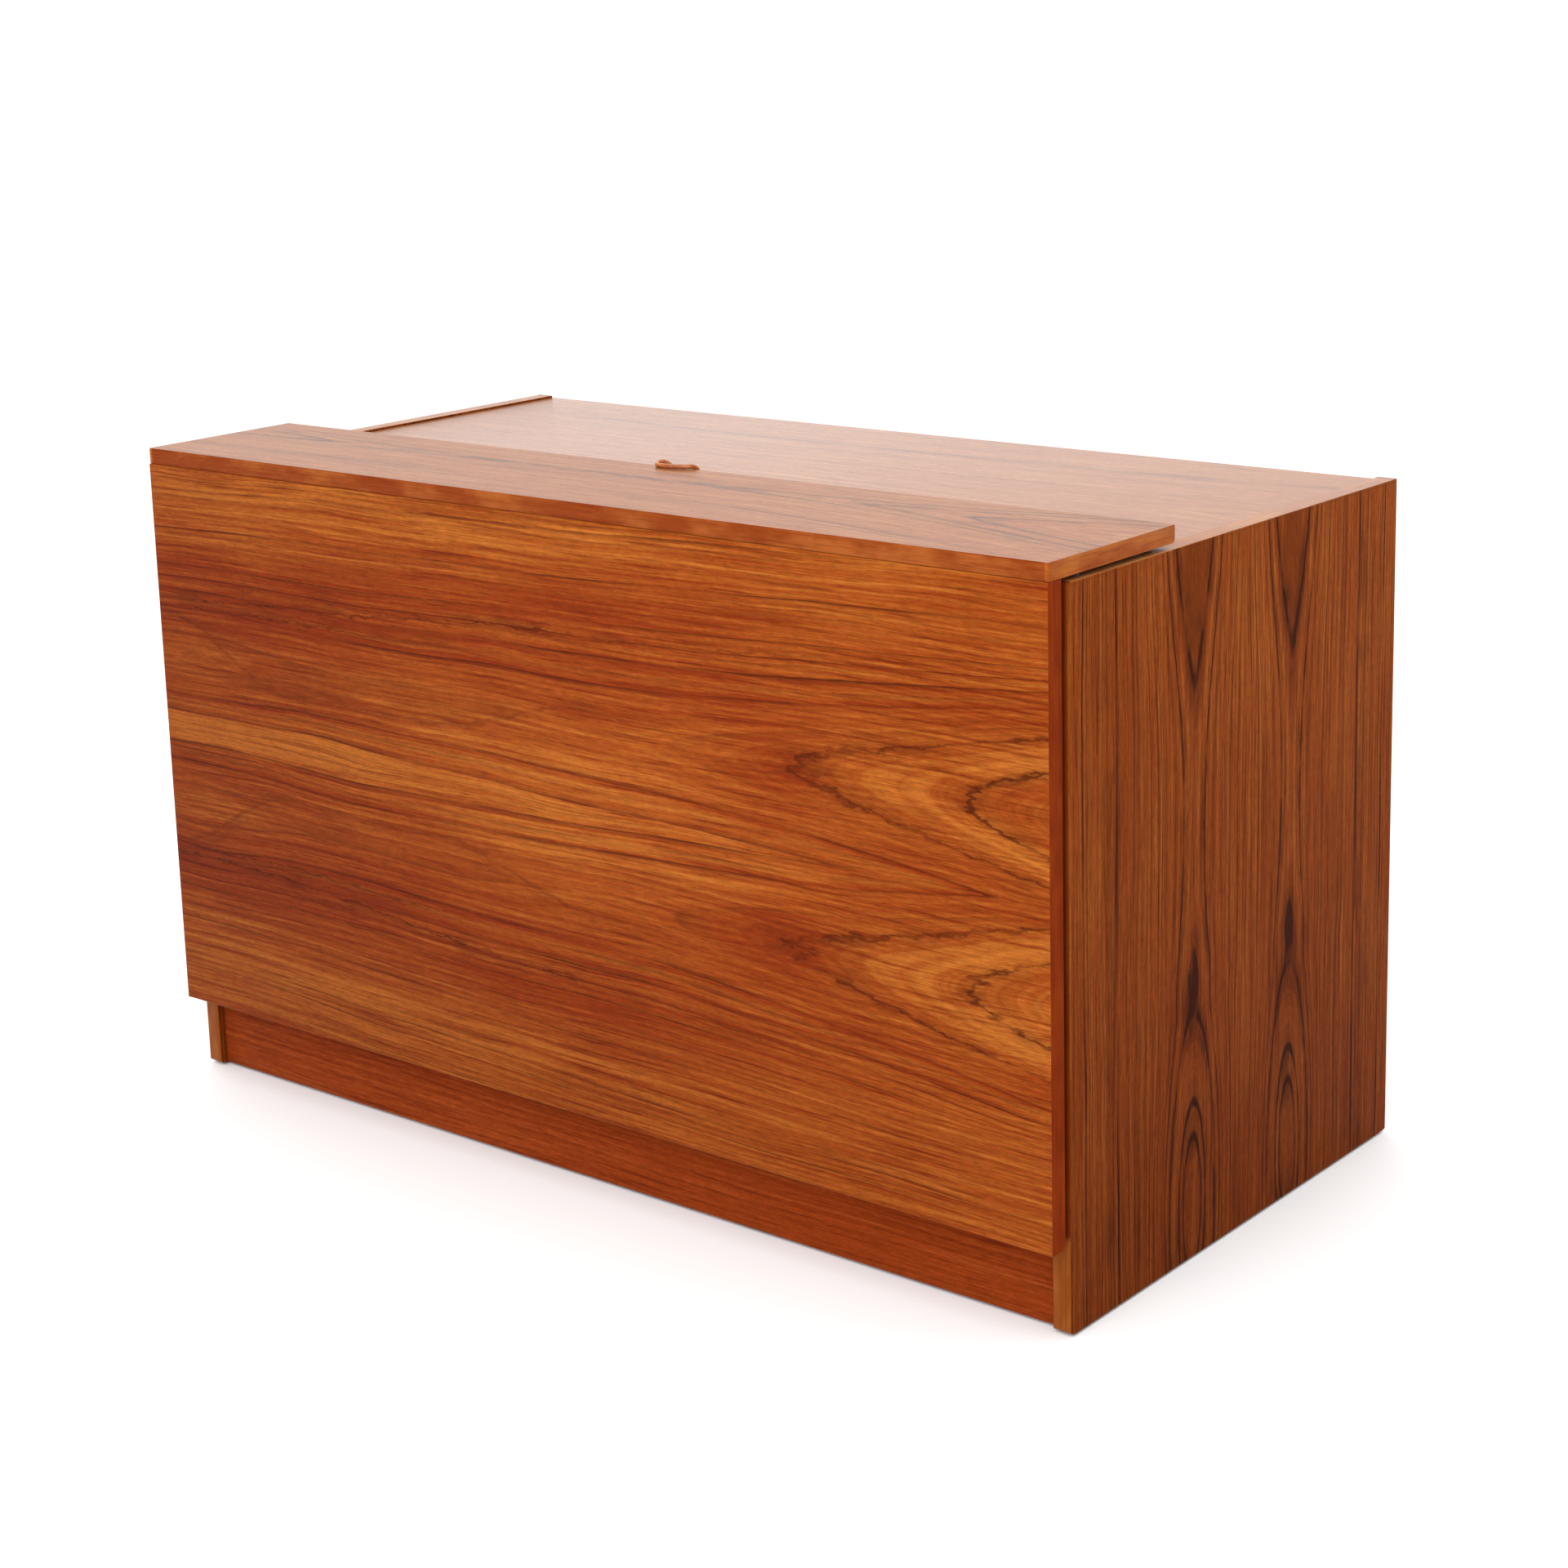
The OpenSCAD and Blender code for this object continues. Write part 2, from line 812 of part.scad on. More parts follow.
side_panel_left();
side_panel_right();
side_front_lipping_left();
side_front_lipping_right();
side_rear_lippings();
side_top_lippings();
main_top();
main_top_front_lipping();
main_top_rear_lipping();
well_board_left();
well_board_right();
well_board_lippings();
bottom_panel();
kick_board();
rear_plinth();
back_panel();
back_screws();
partition_left();
partition_right();
side_shelf_left();
side_shelf_right();
shelf_pins();
top_cleats();
cleat_screws();
lift_rail_left();
lift_rail_right();
lift_stops();
door_catch();
door_bumpers();
flap_pads();
floor_glides();
hinge_leaf_side();
hinge_pin();
hinge_screws_side();
front_panel();
front_lipping_left();
front_lipping_right();
front_lipping_top();
front_lipping_bottom();
hinge_leaf_front();
hinge_screws_front();
catch_strike();
thread_rack();
thread_pegs();
notions_tray();
flap_hinge_lower();
flap_board();
flap_lipping_front();
flap_lipping_rear();
flap_lipping_left();
flap_lipping_right();
flap_hinge_upper();
leather_loop();
machine_shelf();
machine_shelf_lipping();
lift_arm_left();
lift_arm_right();
lift_arm_screws();
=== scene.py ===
"""The sewing table's looks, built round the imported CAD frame. Places are in metres, and materials work in
millimetres."""

import json
import math

import bmesh
import bpy
from mathutils import Matrix, Vector


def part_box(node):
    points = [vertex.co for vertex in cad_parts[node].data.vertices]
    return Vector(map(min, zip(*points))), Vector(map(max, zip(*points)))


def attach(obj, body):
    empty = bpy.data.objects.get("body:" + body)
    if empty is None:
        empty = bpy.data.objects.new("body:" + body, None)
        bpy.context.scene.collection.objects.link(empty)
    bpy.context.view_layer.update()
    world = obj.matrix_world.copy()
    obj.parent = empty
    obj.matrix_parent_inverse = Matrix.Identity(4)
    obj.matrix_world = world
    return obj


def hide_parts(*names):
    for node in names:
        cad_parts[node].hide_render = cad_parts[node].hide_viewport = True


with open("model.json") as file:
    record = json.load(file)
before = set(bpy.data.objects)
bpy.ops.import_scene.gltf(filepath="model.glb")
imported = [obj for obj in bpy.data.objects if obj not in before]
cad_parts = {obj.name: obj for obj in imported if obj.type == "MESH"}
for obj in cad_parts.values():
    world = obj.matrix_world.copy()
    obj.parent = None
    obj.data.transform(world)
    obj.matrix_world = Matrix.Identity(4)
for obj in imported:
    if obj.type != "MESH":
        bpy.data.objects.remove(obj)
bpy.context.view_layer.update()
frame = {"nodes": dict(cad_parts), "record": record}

MM = 0.001
X, Y, Z = 0, 1, 2
WHITE = (1.0, 1.0, 1.0, 1.0)


def srgb(text):
    """A colour written as in a paint program, such as "a24b1f", as linear RGBA."""
    parts = [int(text[i:i + 2], 16) / 255 for i in (0, 2, 4)]
    linear = [c / 12.92 if c <= 0.04045 else ((c + 0.055) / 1.055) ** 2.4 for c in parts]
    return (*linear, 1.0)


# ---------------------------------------------------------------- camera

CAMERA_AT = Vector((2.005, -2.382, 1.247))
CAMERA_YAW = math.radians(39.37)
CAMERA_PITCH = math.radians(12.5)
CAMERA_ROLL = math.radians(-1.54)
CAMERA_LENS = 68.0
CAMERA_SENSOR = 36.0
CAMERA_SHIFT = (-0.0016, -0.11)


def add_camera():
    """A camera that looks towards +Y and to the left, level but for its pitch and a slight roll."""
    data = bpy.data.cameras.new("camera")
    data.lens = CAMERA_LENS
    data.sensor_width = CAMERA_SENSOR
    data.shift_x, data.shift_y = CAMERA_SHIFT
    camera = bpy.data.objects.new("camera", data)
    bpy.context.scene.collection.objects.link(camera)
    forward = Vector((-math.sin(CAMERA_YAW) * math.cos(CAMERA_PITCH),
                      math.cos(CAMERA_YAW) * math.cos(CAMERA_PITCH),
                      -math.sin(CAMERA_PITCH)))
    level = Vector((math.cos(CAMERA_YAW), math.sin(CAMERA_YAW), 0))
    above = level.cross(forward)
    right = math.cos(CAMERA_ROLL) * level + math.sin(CAMERA_ROLL) * above
    up = math.cos(CAMERA_ROLL) * above - math.sin(CAMERA_ROLL) * level
    turn = Matrix((right, up, -forward)).transposed()
    camera.matrix_world = Matrix.Translation(CAMERA_AT) @ turn.to_4x4()
    bpy.context.scene.camera = camera


add_camera()


# ---------------------------------------------------------------- node graphs

class Graph:
    """A material's or the world's node tree, with short calls for the nodes used here."""

    def __init__(self, owner, shader):
        owner.use_nodes = True
        self.owner = owner
        self.tree = owner.node_tree
        self.shader = self.tree.nodes[shader]

    @classmethod
    def material(cls, name):
        return cls(bpy.data.materials.new(name), "Principled BSDF")

    def put(self, socket, value):
        """Links a socket, or sets its constant."""
        if isinstance(value, bpy.types.NodeSocket):
            self.tree.links.new(value, socket)
        else:
            socket.default_value = value

    def math(self, operation, a, b=0.0, c=0.0):
        node = self.tree.nodes.new("ShaderNodeMath")
        node.operation = operation
        for socket, value in zip(node.inputs, (a, b, c)):
            self.put(socket, value)
        return node.outputs[0]

    def add(self, a, b):
        return self.math("ADD", a, b)

    def sub(self, a, b):
        return self.math("SUBTRACT", a, b)

    def mul(self, a, b):
        return self.math("MULTIPLY", a, b)

    def scaled(self, a, factor, offset=0.0):
        return self.math("MULTIPLY_ADD", a, factor, offset)

    def swayed(self, a, noise, reach):
        """A value that noise from 0 to 1 moves by up to half the reach either way."""
        return self.add(a, self.scaled(noise, reach, -0.5 * reach))

    def darkest(self, a, b):
        """The stronger of two dark lines."""
        return self.math("MAXIMUM", a, b)

    def step(self, value, low, high, out_low=0.0, out_high=1.0):
        """A smooth step from out_low at low to out_high at high."""
        node = self.tree.nodes.new("ShaderNodeMapRange")
        node.interpolation_type = "SMOOTHSTEP"
        for socket, v in zip(node.inputs, (value, low, high, out_low, out_high)):
            self.put(socket, v)
        return node.outputs[0]

    def hill(self, x, y, at_x, at_y, wide_x, wide_y, height):
        """A smooth hill, height * exp(-dx^2 - dy^2)."""
        dx = self.scaled(x, 1 / wide_x, -at_x / wide_x)
        dy = self.scaled(y, 1 / wide_y, -at_y / wide_y)
        reach = self.add(self.mul(dx, dx), self.mul(dy, dy))
        return self.mul(self.math("EXPONENT", self.mul(reach, -1.0)), height)

    def ridge(self, x, at, wide, height):
        """A hill over one coordinate only."""
        return self.hill(x, 0.0, at, 0.0, wide, 1.0, height)

    def place(self):
        """The point in the row frame, in millimetres, as three sockets."""
        source = self.tree.nodes.new("ShaderNodeTexCoord").outputs["Object"]
        node = self.tree.nodes.new("ShaderNodeSeparateXYZ")
        self.put(node.inputs[0], source)
        return [self.mul(axis, 1 / MM) for axis in node.outputs]

    def vector(self, x, y, z=0.0):
        node = self.tree.nodes.new("ShaderNodeCombineXYZ")
        for socket, value in zip(node.inputs, (x, y, z)):
            self.put(socket, value)
        return node.outputs[0]

    def noise(self, x, y, z, detail=2.0, roughness=0.5, distortion=0.0):
        """Noise from 0 to 1 in coordinates that are already scaled."""
        node = self.tree.nodes.new("ShaderNodeTexNoise")
        self.put(node.inputs["Vector"], self.vector(x, y, z))
        node.inputs["Scale"].default_value = 1.0
        node.inputs["Detail"].default_value = detail
        node.inputs["Roughness"].default_value = roughness
        node.inputs["Distortion"].default_value = distortion
        return node.outputs[0]

    def patches(self, u, v, length, width, start=0.0, layer=0.0, **look):
        """Noise on a board, in patches of about length by width millimetres."""
        return self.noise(self.scaled(u, 1 / length, start), self.scaled(v, 1 / width), layer, **look)

    def strands(self, axes, length, width, start=0.0, **look):
        """Noise in a solid, in strands along the first of its three axes."""
        u, v, w = axes
        return self.noise(self.scaled(u, 1 / length, start), self.scaled(v, 1 / width),
                          self.scaled(w, 1 / width), **look)

    def grains(self, axes, size, **look):
        """Noise in a solid, in round grains of about the size in millimetres."""
        return self.strands(axes, size, size, **look)

    def stripes(self, w, detail=2.0, roughness=0.5):
        """Noise along one line only."""
        node = self.tree.nodes.new("ShaderNodeTexNoise")
        node.noise_dimensions = "1D"
        self.put(node.inputs["W"], w)
        node.inputs["Scale"].default_value = 1.0
        node.inputs["Detail"].default_value = detail
        node.inputs["Roughness"].default_value = roughness
        return node.outputs[0]

    def chance(self, w):
        """A different value from 0 to 1 for each whole number."""
        node = self.tree.nodes.new("ShaderNodeTexWhiteNoise")
        node.noise_dimensions = "1D"
        self.put(node.inputs["W"], w)
        return node.outputs["Value"]

    def blend(self, amount, a, b, how="MIX"):
        node = self.tree.nodes.new("ShaderNodeMix")
        node.data_type = "RGBA"
        node.blend_type = how
        color_a, color_b = [socket for socket in node.inputs if socket.type == "RGBA"]
        self.put(node.inputs["Factor"], amount)
        self.put(color_a, a)
        self.put(color_b, b)
        return next(socket for socket in node.outputs if socket.type == "RGBA")

    def bump(self, height, strength, distance):
        node = self.tree.nodes.new("ShaderNodeBump")
        self.put(node.inputs["Height"], height)
        node.inputs["Strength"].default_value = strength
        node.inputs["Distance"].default_value = distance
        self.put(self.shader.inputs["Normal"], node.outputs[0])

    def finish(self, color, roughness, **constants):
        """Links the shader and returns the material. An underline in a constant's name is a space."""
        self.put(self.shader.inputs["Base Color"], color)
        self.put(self.shader.inputs["Roughness"], roughness)
        for name, value in constants.items():
            self.shader.inputs[name.replace("_", " ")].default_value = value
        return self.owner


def along_first(axes, axis):
    """The three coordinates, with the one along the axis first."""
    return [axes[axis], *(axes[i] for i in (X, Y, Z) if i != axis)]


# ---------------------------------------------------------------- wood

def wood_colors(light, mid, red, dark):
    """A wood's palette: its light, middling and reddest parts, and its ring lines and pores."""
    return {"light": srgb(light), "mid": srgb(mid), "red": srgb(red), "dark": srgb(dark)}


TEAK = wood_colors("a65d22", "8c4013", "7a2b0b", "401304")
TEAK_SIDE = wood_colors("95511e", "833b10", "6e2f09", "2e1004")
TEAK_TOP = wood_colors("a66d3a", "96572a", "874620", "3c1a0a")
TEAK_PLINTH = wood_colors("95431b", "853512", "762b0e", "441606")
TEAK_LIPPING = wood_colors("8c4c1c", "7b3d12", "6b2e0c", "3c1505")
TEAK_END = wood_colors("802f06", "702503", "631d02", "380f01")
TEAK_FLAP_EDGE = wood_colors("954f22", "7d3613", "6d240b", "390f04")
TEAK_FITTINGS = wood_colors("b9763a", "a66028", "935020", "5a2a10")
BEECH = wood_colors("dcb988", "cfa873", "c49a66", "a87c4c")

# what the varnish reflects straight on is tinted by the wood under it
WOOD_SHEEN = (1.0, 0.42, 0.12, 1.0)
FLECK_SHADE = (0.88, 0.86, 0.84, 1.0)
FLECK_LIGHT = (1.08, 1.09, 1.1, 1.0)
# a ring line darkens as this power of the way across its ring
RING_RISE = 3.5
# the rings' pace changes over PACE_LENGTH millimetres, and shifts them by up to PACE_REACH
PACE_LENGTH = 30
PACE_REACH = 24.0
# a drifting line fades in and out over these lengths, in millimetres
DRIFT_START = 90
DRIFT_END = 120
DARKEST_LINE = 0.95
# painted shade on wood that stands in shadow behind another board: its colour, how much of it shows, and
# half the width of its edge
PAINTED_SHADE_COLOR = srgb("480900")
PAINTED_SHADE_SHARE = 0.75
PAINTED_SHADE_BLUR = 4


def wandering(g, u, v, seed, wander):
    """The place across the board, as the grain wanders slowly, quickly and in a fine tremble."""
    slow = g.patches(u, v, 420, 130, seed, detail=1.0)
    quick = g.patches(u, v, 120, 34, seed + 7, detail=2.0)
    tremble = g.patches(u, v, 16, 3, seed + 3, detail=1.0)
    bent = g.swayed(v, slow, 36.0 * wander)
    bent = g.swayed(bent, quick, 7.0 * wander)
    return g.swayed(bent, tremble, 1.0)


def ring_field(g, u, side, heart, widen, lean, hills):
    """The valley whose contour lines are the growth rings."""
    off = g.add(side, -heart[0])
    floor = heart[1] if widen is None else g.step(u, widen[0], widen[1], heart[1], widen[2])
    field = g.math("SQRT", g.add(g.mul(off, off), g.mul(floor, floor)))
    field = g.add(field, g.scaled(u, -lean))
    for hill in hills:
        field = g.add(field, g.hill(u, side, *hill))
    return field


def ring_lines(g, u, v, field, seed, ring, lines):
    """The rings' darkness. Each darkens slowly, ends in a thin line and has its own strength, and they
    fade in patches and near the heart."""
    pace = g.stripes(g.scaled(field, 1 / PACE_LENGTH, seed), detail=1.0)
    phase = g.scaled(g.add(field, g.scaled(pace, PACE_REACH)), 1 / ring, seed)
    number = g.math("FLOOR", phase)
    within = g.sub(phase, number)
    strength = g.step(g.chance(g.add(number, seed)), 0.0, 0.9)
    fading = g.step(g.patches(u, v, 170, 26, seed + 11, detail=2.0), 0.34, 0.64)
    edge = g.mul(g.math("POWER", within, RING_RISE), g.step(within, 1.0, 0.92))
    line = g.mul(g.mul(edge, strength), g.scaled(fading, 0.7, 0.3))
    return g.mul(line, g.step(field, 5.0, 55.0, 0.2 * lines, lines))


def single_lines(g, u, v, side, field, line, seed, accents, jagged, drifts):
    """Adds single dark lines to the rings. Each is bold in places and has a soft shade on one side."""
    ink = g.patches(u, v, 60, 20, seed + 21, detail=2.0)
    bold = g.step(ink, 0.3, 0.55, 0.45, 1.0)
    soft = g.step(ink, 0.38, 0.66, 0.05, 0.6)
    rough = g.patches(u, v, 26, 8, seed + 31, detail=3.0, roughness=0.6)
    ragged = g.swayed(field, rough, 2 * jagged)
    for level, power, width in accents:
        line = g.darkest(line, g.mul(g.ridge(ragged, level, width, power), bold))
        shade = g.ridge(ragged, level - 0.5 * width, 3.2 * width, power)
        line = g.darkest(line, g.mul(shade, soft))
    for bend_from, bend_to, low, high, begins, ends, power, width in drifts:
        at = g.sub(side, g.step(u, bend_from, bend_to, low, high))
        at = g.add(at, g.sub(ragged, field))
        reach = g.mul(g.step(u, begins, begins + DRIFT_START), g.step(u, ends, ends - DRIFT_END))
        line = g.darkest(line, g.mul(g.ridge(at, 0.0, width, power), g.mul(reach, bold)))
        shade = g.ridge(at, 3.0 * width, 4.0 * width, power)
        line = g.darkest(line, g.mul(shade, g.mul(reach, soft)))
    return g.math("MINIMUM", line, DARKEST_LINE)


def ring_warmth(g, u, v, side, field, streak, seed, zones, reds):
    """How red the wood is, round 0: it follows the rings, clouds, streaks, zones and patches."""
    band = g.stripes(g.scaled(field, 1 / 9, seed + 5), detail=3.0, roughness=0.7)
    cloud = g.patches(u, v, 260, 60, seed + 1, detail=3.0)
    warmth = g.swayed(g.scaled(band, 1.0, -0.5), cloud, 0.6)
    warmth = g.swayed(warmth, streak, 1.7)
    for level, width, amount in zones:
        warmth = g.add(warmth, g.ridge(field, level, width, amount))
    for patch in reds:
        warmth = g.add(warmth, g.hill(u, side, *patch))
    return warmth


def painted_shading(g, u, v, color, darker):
    """A colour darkened in patches by painted shade, or lightened by painted light where an amount is
    negative, most in its blue and least in its red.
    """
    light_factor = 1.0
    for *patch, amount in darker:
        light_factor = g.add(light_factor, g.hill(u, v, *patch, -amount))
    tint = g.vector(light_factor, g.math("POWER", light_factor, 1.3), g.math("POWER", light_factor, 1.6))
    return g.blend(1.0, color, tint, "MULTIPLY")


def veneer(name, along, across, start, palette, seed, mirror=None, heart=(88, 33), widen=None, hills=(),
           lean=0.0, ring=9.0, accents=(), jagged=3.0, drifts=(), zones=(), reds=(), lines=1.0, wander=1.0,
           darker=(), rough=0.4, shine=0.06):
    """Flat-sawn veneer. Its growth rings are the contour lines of a valley along the heart of the log.

    along, across: the axis and the sign that the grain and the board's width follow
    start: the place where both begin
    mirror: the place across at which a bookmatched veneer repeats in mirror image
    heart, widen: where the valley's floor lies across the board and how wide it is, and (from, to, wide)
        along the grain if it broadens
    hills: (along, across, length, width, height), which close the rings into the noses of flames
    lean: how much the valley drops along the grain
    ring: the rings' width
    accents: (level, strength, width) of single dark rings
    drifts: dark lines that cross the rings: (from, to) along the grain and (from, to) across it for
        their bend, where they begin and end, strength and width
    jagged: how far the single rings and the drifts stray
    zones: (level, width, amount) of rings that are redder, or lighter where amount is negative
    reds: (along, across, length, width, amount) of patches of the same
    darker: such patches of painted shade, or of painted light where amount is negative; these
        aren't mirrored
    lines, wander, rough, shine: the rings' strength, the grain's wandering, roughness and gloss

    Places and sizes are in millimetres."""
    g = Graph.material(name)
    axes = g.place()
    u = g.scaled(axes[along[0]], along[1], -along[1] * start[0])
    v = g.scaled(axes[across[0]], across[1], -across[1] * start[1])
    bent = wandering(g, u, v, seed, wander)
    side = bent if mirror is None else g.math("ABSOLUTE", g.add(bent, -mirror))
    field = ring_field(g, u, side, heart, widen, lean, hills)
    line = ring_lines(g, u, v, field, seed, ring, lines)
    line = single_lines(g, u, v, side, field, line, seed, accents, jagged, drifts)

    # fibres and pores run along the grain
    fibre = g.patches(u, bent, 60, 1.5, layer=seed, detail=3.0, roughness=0.7)
    streak = g.patches(u, bent, 190, 4.2, layer=seed + 6, detail=4.0, roughness=0.7)
    pores = g.step(g.patches(u, bent, 9, 0.6, layer=seed + 2, detail=1.0), 0.58, 0.7)
    fleck = g.patches(u, v, 14, 4, layer=seed + 4, detail=3.0, roughness=0.6)

    warmth = ring_warmth(g, u, v, side, field, streak, seed, zones, reds)
    color = g.blend(g.step(warmth, -0.45, 0.1), palette["light"], palette["mid"])
    color = g.blend(g.step(warmth, 0.0, 0.5), color, palette["red"])
    thin = g.step(streak, 0.53, 0.68, 0.0, 0.45)
    color = g.blend(g.darkest(line, thin), color, palette["dark"])
    color = g.blend(g.step(fibre, 0.45, 0.75, 0.0, 0.5), color, palette["dark"])
    color = g.blend(g.mul(pores, 0.35), color, palette["dark"])
    tone = g.blend(g.step(fleck, 0.3, 0.7), FLECK_SHADE, FLECK_LIGHT)
    color = g.blend(1.0, color, tone, "MULTIPLY")
    # painted shade and painted light, laid on in broad patches where the board gets less or more light
    if darker:
        color = painted_shading(g, u, v, color, darker)

    relief = g.sub(g.scaled(fibre, 0.6), g.add(g.mul(pores, 0.5), g.mul(line, 0.3)))
    g.bump(relief, 0.3, 0.12 * MM)
    uneven = g.add(g.scaled(fibre, 0.12, rough - 0.06), g.mul(pores, 0.08))
    return g.finish(color, uneven, Specular_IOR_Level=shine, Specular_Tint=WOOD_SHEEN)


def solid_wood(name, axis, palette, seed, rough=0.38, depth=0.3, shine=0.12, painted_shade_above=None):
    """Straight-grained solid wood with its grain along the axis, and its fibres as dark as depth says.
    Above the given height it stands in shadow behind another board, and there painted shade makes it dark."""
    g = Graph.material(name)
    axes = g.place()
    u, v, w = along_first(axes, axis)
    wander = g.strands((u, v, w), 120, 30, seed, detail=2.0)
    bent = g.add(v, g.scaled(wander, 6.0))
    grain = g.strands((u, bent, w), 160, 2.2, seed, detail=3.0, roughness=0.6)
    fibre = g.strands((u, v, w), 24, 0.5, seed, detail=2.0)
    cloud = g.strands((u, v, w), 60, 25, seed + 9, detail=3.0)
    color = g.blend(g.step(cloud, 0.35, 0.65), palette["light"], palette["mid"])
    color = g.blend(g.mul(g.step(grain, 0.48, 0.7), 0.6), color, palette["red"])
    color = g.blend(g.mul(g.step(fibre, 0.5, 0.75), depth), color, palette["dark"])
    # painted shade: above the given height the wood is darkened to look shadowed by the board in front of
    # it
    if painted_shade_above is not None:
        low, high = painted_shade_above - PAINTED_SHADE_BLUR, painted_shade_above + PAINTED_SHADE_BLUR
        color = g.blend(g.step(axes[Z], low, high, 0.0, PAINTED_SHADE_SHARE), color, PAINTED_SHADE_COLOR)
    g.bump(g.sub(g.mul(fibre, 0.5), g.mul(grain, 0.3)), 0.3, 0.1 * MM)
    uneven = g.scaled(fibre, 0.12, rough - 0.06)
    return g.finish(color, uneven, Specular_IOR_Level=shine, Specular_Tint=WOOD_SHEEN)


# ---------------------------------------------------------------- other materials

def metal(name, color, shade, axis, roughness):
    """Brushed or plated metal, with fine brushing along the axis and slight tarnish."""
    g = Graph.material(name)
    axes = along_first(g.place(), axis)
    brush = g.strands(axes, 18, 0.5, detail=2.0)
    tarnish = g.strands(axes, 14, 9, detail=4.0)
    mixed = g.blend(g.step(tarnish, 0.42, 0.72, 0.0, 0.45), color, shade)
    mixed = g.blend(g.step(brush, 0.4, 0.7, 0.0, 0.12), mixed, shade)
    g.bump(brush, 0.08, 0.02 * MM)
    rough = g.add(g.scaled(brush, 0.14, roughness - 0.07), g.mul(g.step(tarnish, 0.45, 0.75), 0.12))
    return g.finish(mixed, rough, Metallic=1.0)


def leather(name):
    """Tan leather cord: creased grain, darker in the creases and a little polished on top."""
    g = Graph.material(name)
    axes = g.place()
    pebble = g.grains(axes, 0.55, detail=3.0)
    crease = g.grains(axes, 1.6, detail=2.0, distortion=1.2)
    stain = g.grains(axes, 9, detail=2.0)
    color = g.blend(g.step(stain, 0.35, 0.65), srgb("b9682c"), srgb("8d4519"))
    color = g.blend(g.mul(g.step(crease, 0.5, 0.72), 0.6), color, srgb("4c210c"))
    color = g.blend(g.mul(g.step(pebble, 0.52, 0.8), 0.3), color, srgb("cf8848"))
    g.bump(g.add(g.mul(pebble, 0.6), g.mul(crease, -0.8)), 0.5, 0.15 * MM)
    return g.finish(color, g.scaled(pebble, 0.25, 0.3), Specular_IOR_Level=0.5)


def felt(name, color, shade):
    """Pressed felt: short tangled fibres with a soft sheen."""
    g = Graph.material(name)
    fuzz = g.grains(g.place(), 0.3, detail=4.0, distortion=2.0)
    mixed = g.blend(g.step(fuzz, 0.35, 0.65), shade, color)
    g.bump(fuzz, 0.6, 0.2 * MM)
    return g.finish(mixed, g.scaled(fuzz, 0.1, 0.88), Sheen_Weight=0.4)


def plastic(name, color, shade):
    """Moulded plastic with a fine spark-eroded grain and faint scuffs."""
    g = Graph.material(name)
    axes = g.place()
    grain = g.grains(axes, 0.4, detail=2.0)
    scuff = g.grains(axes, 6, detail=4.0)
    mixed = g.blend(g.step(scuff, 0.5, 0.75), color, shade)
    g.bump(grain, 0.3, 0.06 * MM)
    return g.finish(mixed, g.scaled(scuff, 0.2, 0.45))


# ---------------------------------------------------------------- the table's materials, in millimetres

FRONT_LOW, FRONT_HIGH = (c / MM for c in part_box("front_panel"))
FLAP_LOW, FLAP_HIGH = (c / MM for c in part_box("flap_board"))
SIDE_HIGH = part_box("side_panel_right")[1] / MM
SIDE_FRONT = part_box("side_front_lipping_right")[0].y / MM
TOP_LOW, TOP_HIGH = (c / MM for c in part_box("main_top"))
LIPPING = 6.0
FRONT_TOP = FRONT_HIGH.z + LIPPING
FLAP_REAR = FLAP_HIGH.y + LIPPING
# the specular level of the least glossy wood
MATT = 0.012


def front_veneer():
    """Bookmatched about mid-height, with flames at the right end and long drifting lines at the left."""
    return veneer(
        "front_veneer", (X, 1), (Z, -1), (FRONT_LOW.x, FRONT_TOP), TEAK, 3.0, mirror=297.0,
        heart=(88, 33), lean=0.022,
        hills=((20, 88, 150, 90, -14), (1330, 88, 235, 120, -70), (700, 88, 200, 50, 12)),
        ring=8.0, lines=1.3, wander=0.55,
        accents=((14, 0.8, 1.8), (-20, 0.9, 1.9)), jagged=8.0,
        drifts=((10, 190, 132, 62, -120, 260, 0.42, 3.2), (430, 650, 60, 108, 70, 780, 0.42, 3.0),
                (0, 700, 148, 182, -120, 700, 0.85, 1.2), (0, 800, 138, 156, -120, 520, 0.65, 1.4),
                (300, 1100, 168, 196, 60, 1000, 0.5, 1.2)),
        zones=((42, 22, 0.2), (-6, 14, -0.4), (5, 8, 0.2)),
        reds=((120, 165, 330, 42, 0.42), (680, 205, 280, 40, 0.35), (150, 0, 420, 16, -0.4),
              (620, 40, 260, 26, -0.3), (300, 275, 500, 30, -0.25), (890, 88, 60, 40, 0.35),
              (1090, 88, 40, 26, 0.3)),
        # painted shade at the lower left and along the bottom, and painted light right of the middle
        darker=((0, 420, 420, 420, 0.2), (500, 640, 500, 170, 0.14), (700, 250, 300, 200, -0.08)))


def side_veneer():
    """Bookmatched along an upright line, with a pair of flames that points down from the top edge and a
    pair of tall ones that stands on the bottom edge."""
    return veneer(
        "side_veneer", (Z, -1), (Y, 1), (SIDE_HIGH.z, SIDE_FRONT), TEAK_SIDE, 11.0, mirror=302.0,
        heart=(90, 5), widen=(400, 465, 28),
        hills=((-70, 90, 165, 60, -70), (650, 90, 170, 42, -150)),
        ring=7.0, lines=1.6, wander=0.3, shine=MATT,
        accents=((17, 1.0, 2.0), (-12, 1.15, 4.5), (-74, 1.15, 5.5), (-98, 1.0, 5.5), (33, 0.6, 1.3)),
        jagged=1.5,
        drifts=((0, 709, 224, 230, -200, 950, 0.65, 2.0), (0, 709, 240, 236, -200, 950, 0.6, 1.4),
                (100, 600, 196, 204, -200, 950, 0.4, 1.2)),
        reds=((50, 90, 80, 22, 0.8), (470, 90, 40, 26, 0.6)),
        # painted shade towards the bottom, and painted light at the top towards the rear
        darker=((760, 300, 420, 900, 0.26), (0, 480, 300, 400, -0.14)))


